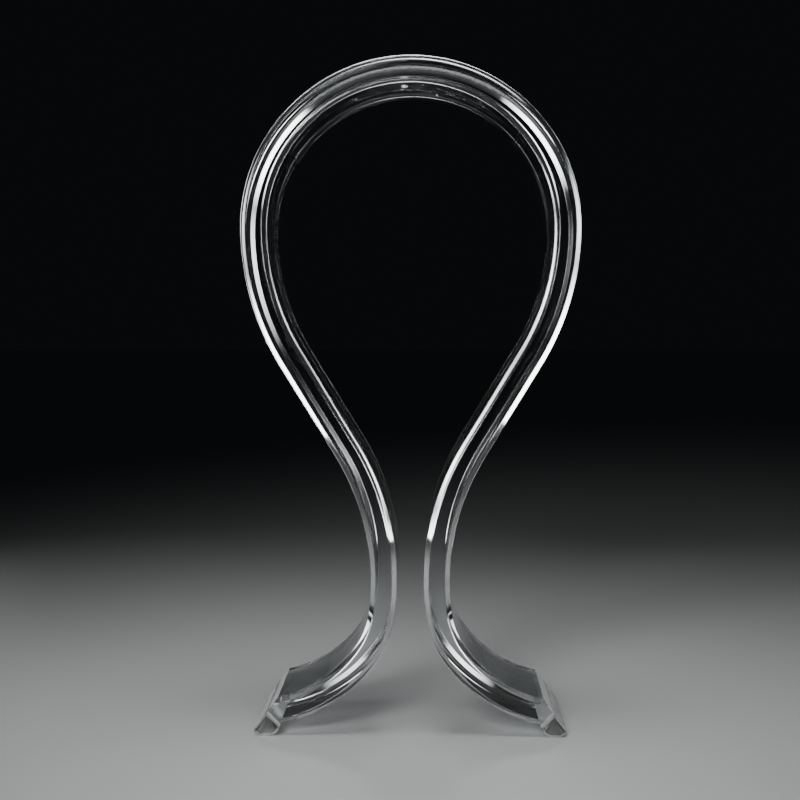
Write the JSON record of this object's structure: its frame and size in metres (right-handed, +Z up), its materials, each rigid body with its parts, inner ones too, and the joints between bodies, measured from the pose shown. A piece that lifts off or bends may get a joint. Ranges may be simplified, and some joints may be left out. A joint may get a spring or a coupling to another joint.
{
  "type": "headphone stand",
  "caption": "Free-standing headphone stand: one clear strip bent into an omega-shaped loop that a headband hangs over, on two bonded feet.",
  "frame": {"origin": "on the floor, midway between the two feet and midway through the strip's width", "axes": "+X across the loop towards the right foot as seen from the front, +Y from the front edge of the strip to the back edge, +Z up"},
  "size_m": [0.1274, 0.05, 0.256],
  "materials": {
    "clear_acrylic": "clear cast acrylic, polished faces and edges",
    "foot_silicone": "translucent grey silicone, satin",
    "bond_layer": "clear double-sided bonding layer"
  },
  "bodies": {
    "root": {"acrylic_arch": "clear_acrylic", "left_foot": "foot_silicone", "right_foot": "foot_silicone", "left_foot_bond": "bond_layer", "right_foot_bond": "bond_layer"}
  },
  "joints": []
}
